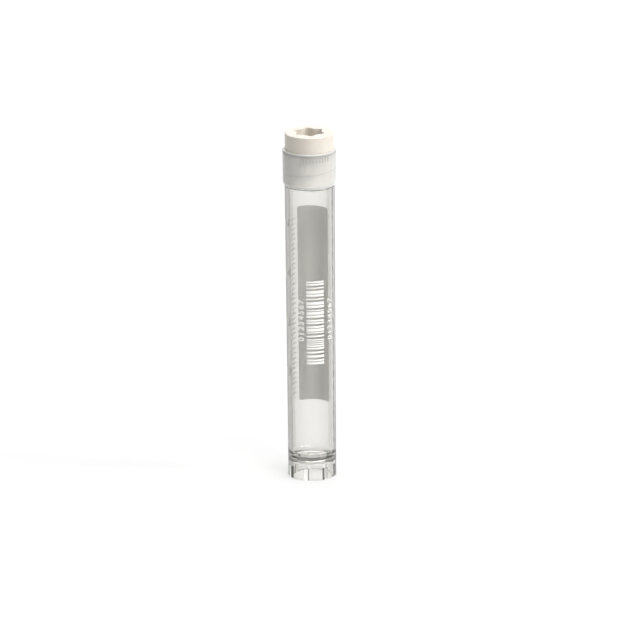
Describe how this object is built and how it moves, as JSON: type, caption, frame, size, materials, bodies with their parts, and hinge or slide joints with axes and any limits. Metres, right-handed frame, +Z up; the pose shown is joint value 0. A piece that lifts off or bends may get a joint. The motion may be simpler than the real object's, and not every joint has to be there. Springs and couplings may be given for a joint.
{
  "type": "cryovial",
  "caption": "Clear self-standing screw-cap cryogenic vial with a castellated foot, a translucent cap skirt and a white cap top with a star socket.",
  "frame": {"origin": "centre of the foot's resting plane, on the tube's axis", "axes": "+Z up the tube's axis towards the cap; -Y is the front, where the bar marks are; +X is to the right seen from the front"},
  "size_m": [0.0134, 0.0135, 0.0892],
  "materials": {
    "clear_polypropylene": "clear, polished",
    "natural_polypropylene": "translucent, satin",
    "white_polypropylene": "opaque, satin",
    "seal_rubber": "matt",
    "white_ink": "screen-printed ink, matt"
  },
  "bodies": {
    "tube": {"vial_tube": "clear_polypropylene"},
    "seal": {"seal_ring": "seal_rubber"},
    "cap": {"cap_skirt": "natural_polypropylene", "cap_core": "white_polypropylene"}
  },
  "joints": [
    {"name": "cap_lift", "type": "slide", "parent": "tube", "child": "seal", "axis": [0, 0, 1], "range_m": [0, 0.0126]},
    {"name": "cap_turn", "type": "hinge", "parent": "seal", "child": "cap", "pos_m": [0, 0, 0.08285], "axis": [0, 0, 1], "range_deg": [0, 1260.05]}
  ],
  "couplings": [
    {"joint": "cap_turn", "follows": "cap_lift", "rad_per_m": 1745.3}
  ]
}
